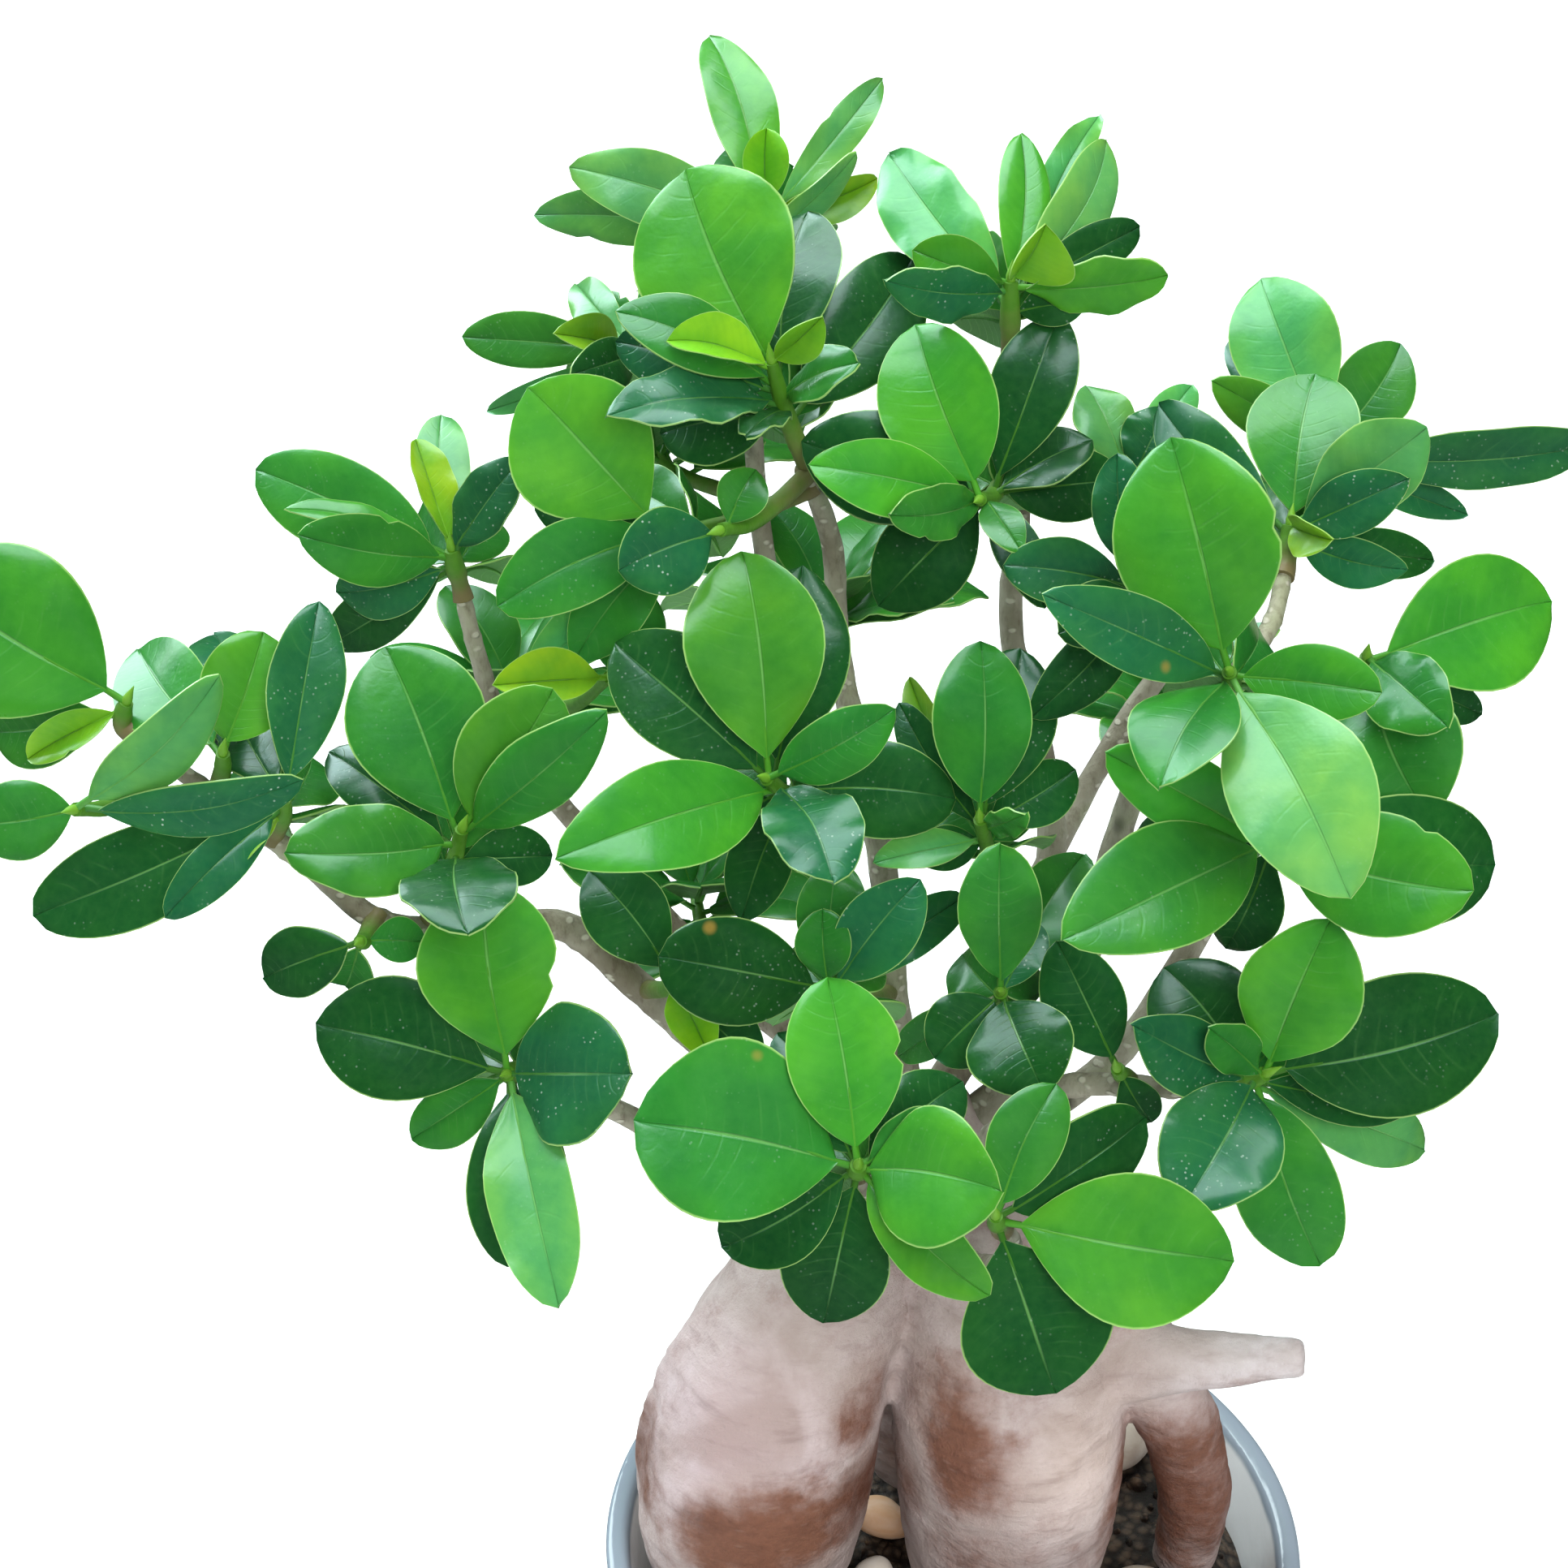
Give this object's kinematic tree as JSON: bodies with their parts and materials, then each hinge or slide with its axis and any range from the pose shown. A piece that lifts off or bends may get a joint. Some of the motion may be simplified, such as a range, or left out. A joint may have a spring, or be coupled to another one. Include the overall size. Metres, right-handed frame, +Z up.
{
  "type": "bonsai tree in a pot",
  "caption": "Ginseng fig bonsai with swollen roots and a crown of glossy oval leaves, in a round tapered glazed pot with pebbles on its soil.",
  "frame": {"origin": "centre of the pot's foot, on the surface the plant stands on", "axes": "+Z up, -Y towards the viewer's side of the crown, +X to the viewer's right"},
  "size_m": [0.3374, 0.258, 0.3934],
  "materials": {
    "glaze": "white gloss glaze with a blue-grey rim line",
    "soil": null,
    "tan_stone": "matt tan pebble",
    "white_stone": "matt white pebble",
    "root_skin": "smooth brown and lilac-grey skin with rough patches",
    "bark": "grey-brown spotted bark",
    "leaves": null
  },
  "bodies": {
    "root": {"branch_back": "bark", "branch_back_right": "bark", "branch_front_left": "bark", "branch_front_right": "bark", "branch_left": "bark", "branch_left_high": "bark", "branch_low_left": "bark", "branch_low_right": "bark", "branch_middle": "bark", "branch_right_front": "bark", "branch_right_side": "bark", "branch_right_top": "bark", "pebble_back": "tan_stone", "pebble_front": "tan_stone", "pebble_left": "white_stone", "pebble_orange": "tan_stone", "pebble_pale": "tan_stone", "pebble_right": "tan_stone", "pebble_tan": "tan_stone", "pebble_white": "white_stone", "pot": "glaze", "shoot_back_crown": "leaves", "shoot_back_left": "leaves", "shoot_back_low": "leaves", "shoot_back_middle": "leaves", "shoot_back_right": "leaves", "shoot_back_top": "leaves", "shoot_centre": "leaves", "shoot_centre_left": "leaves", "shoot_centre_low": "leaves", "shoot_centre_low_right": "leaves", "shoot_centre_right": "leaves", "shoot_crown_middle": "leaves", "shoot_crown_top": "leaves", "shoot_crown_top_right": "leaves", "shoot_far_left_front": "leaves", "shoot_far_left_middle": "leaves", "shoot_far_left_tip": "leaves", "shoot_front_left": "leaves", "shoot_front_right": "leaves", "shoot_left_front": "leaves", "shoot_left_gloss": "leaves", "shoot_left_high": "leaves", "shoot_left_inner": "leaves", "shoot_left_middle": "leaves", "shoot_left_top": "leaves", "shoot_left_twig_foot": "leaves", "shoot_left_twig_middle": "leaves", "shoot_low_twig": "leaves", "shoot_lower_left": "leaves", "shoot_middle_back": "leaves", "shoot_right_back": "leaves", "shoot_right_front": "leaves", "shoot_right_high": "leaves", "shoot_right_inner": "leaves", "shoot_right_low": "leaves", "shoot_right_middle": "leaves", "shoot_right_side": "leaves", "soil": "soil", "trunk_and_roots": "root_skin"}
  },
  "joints": []
}
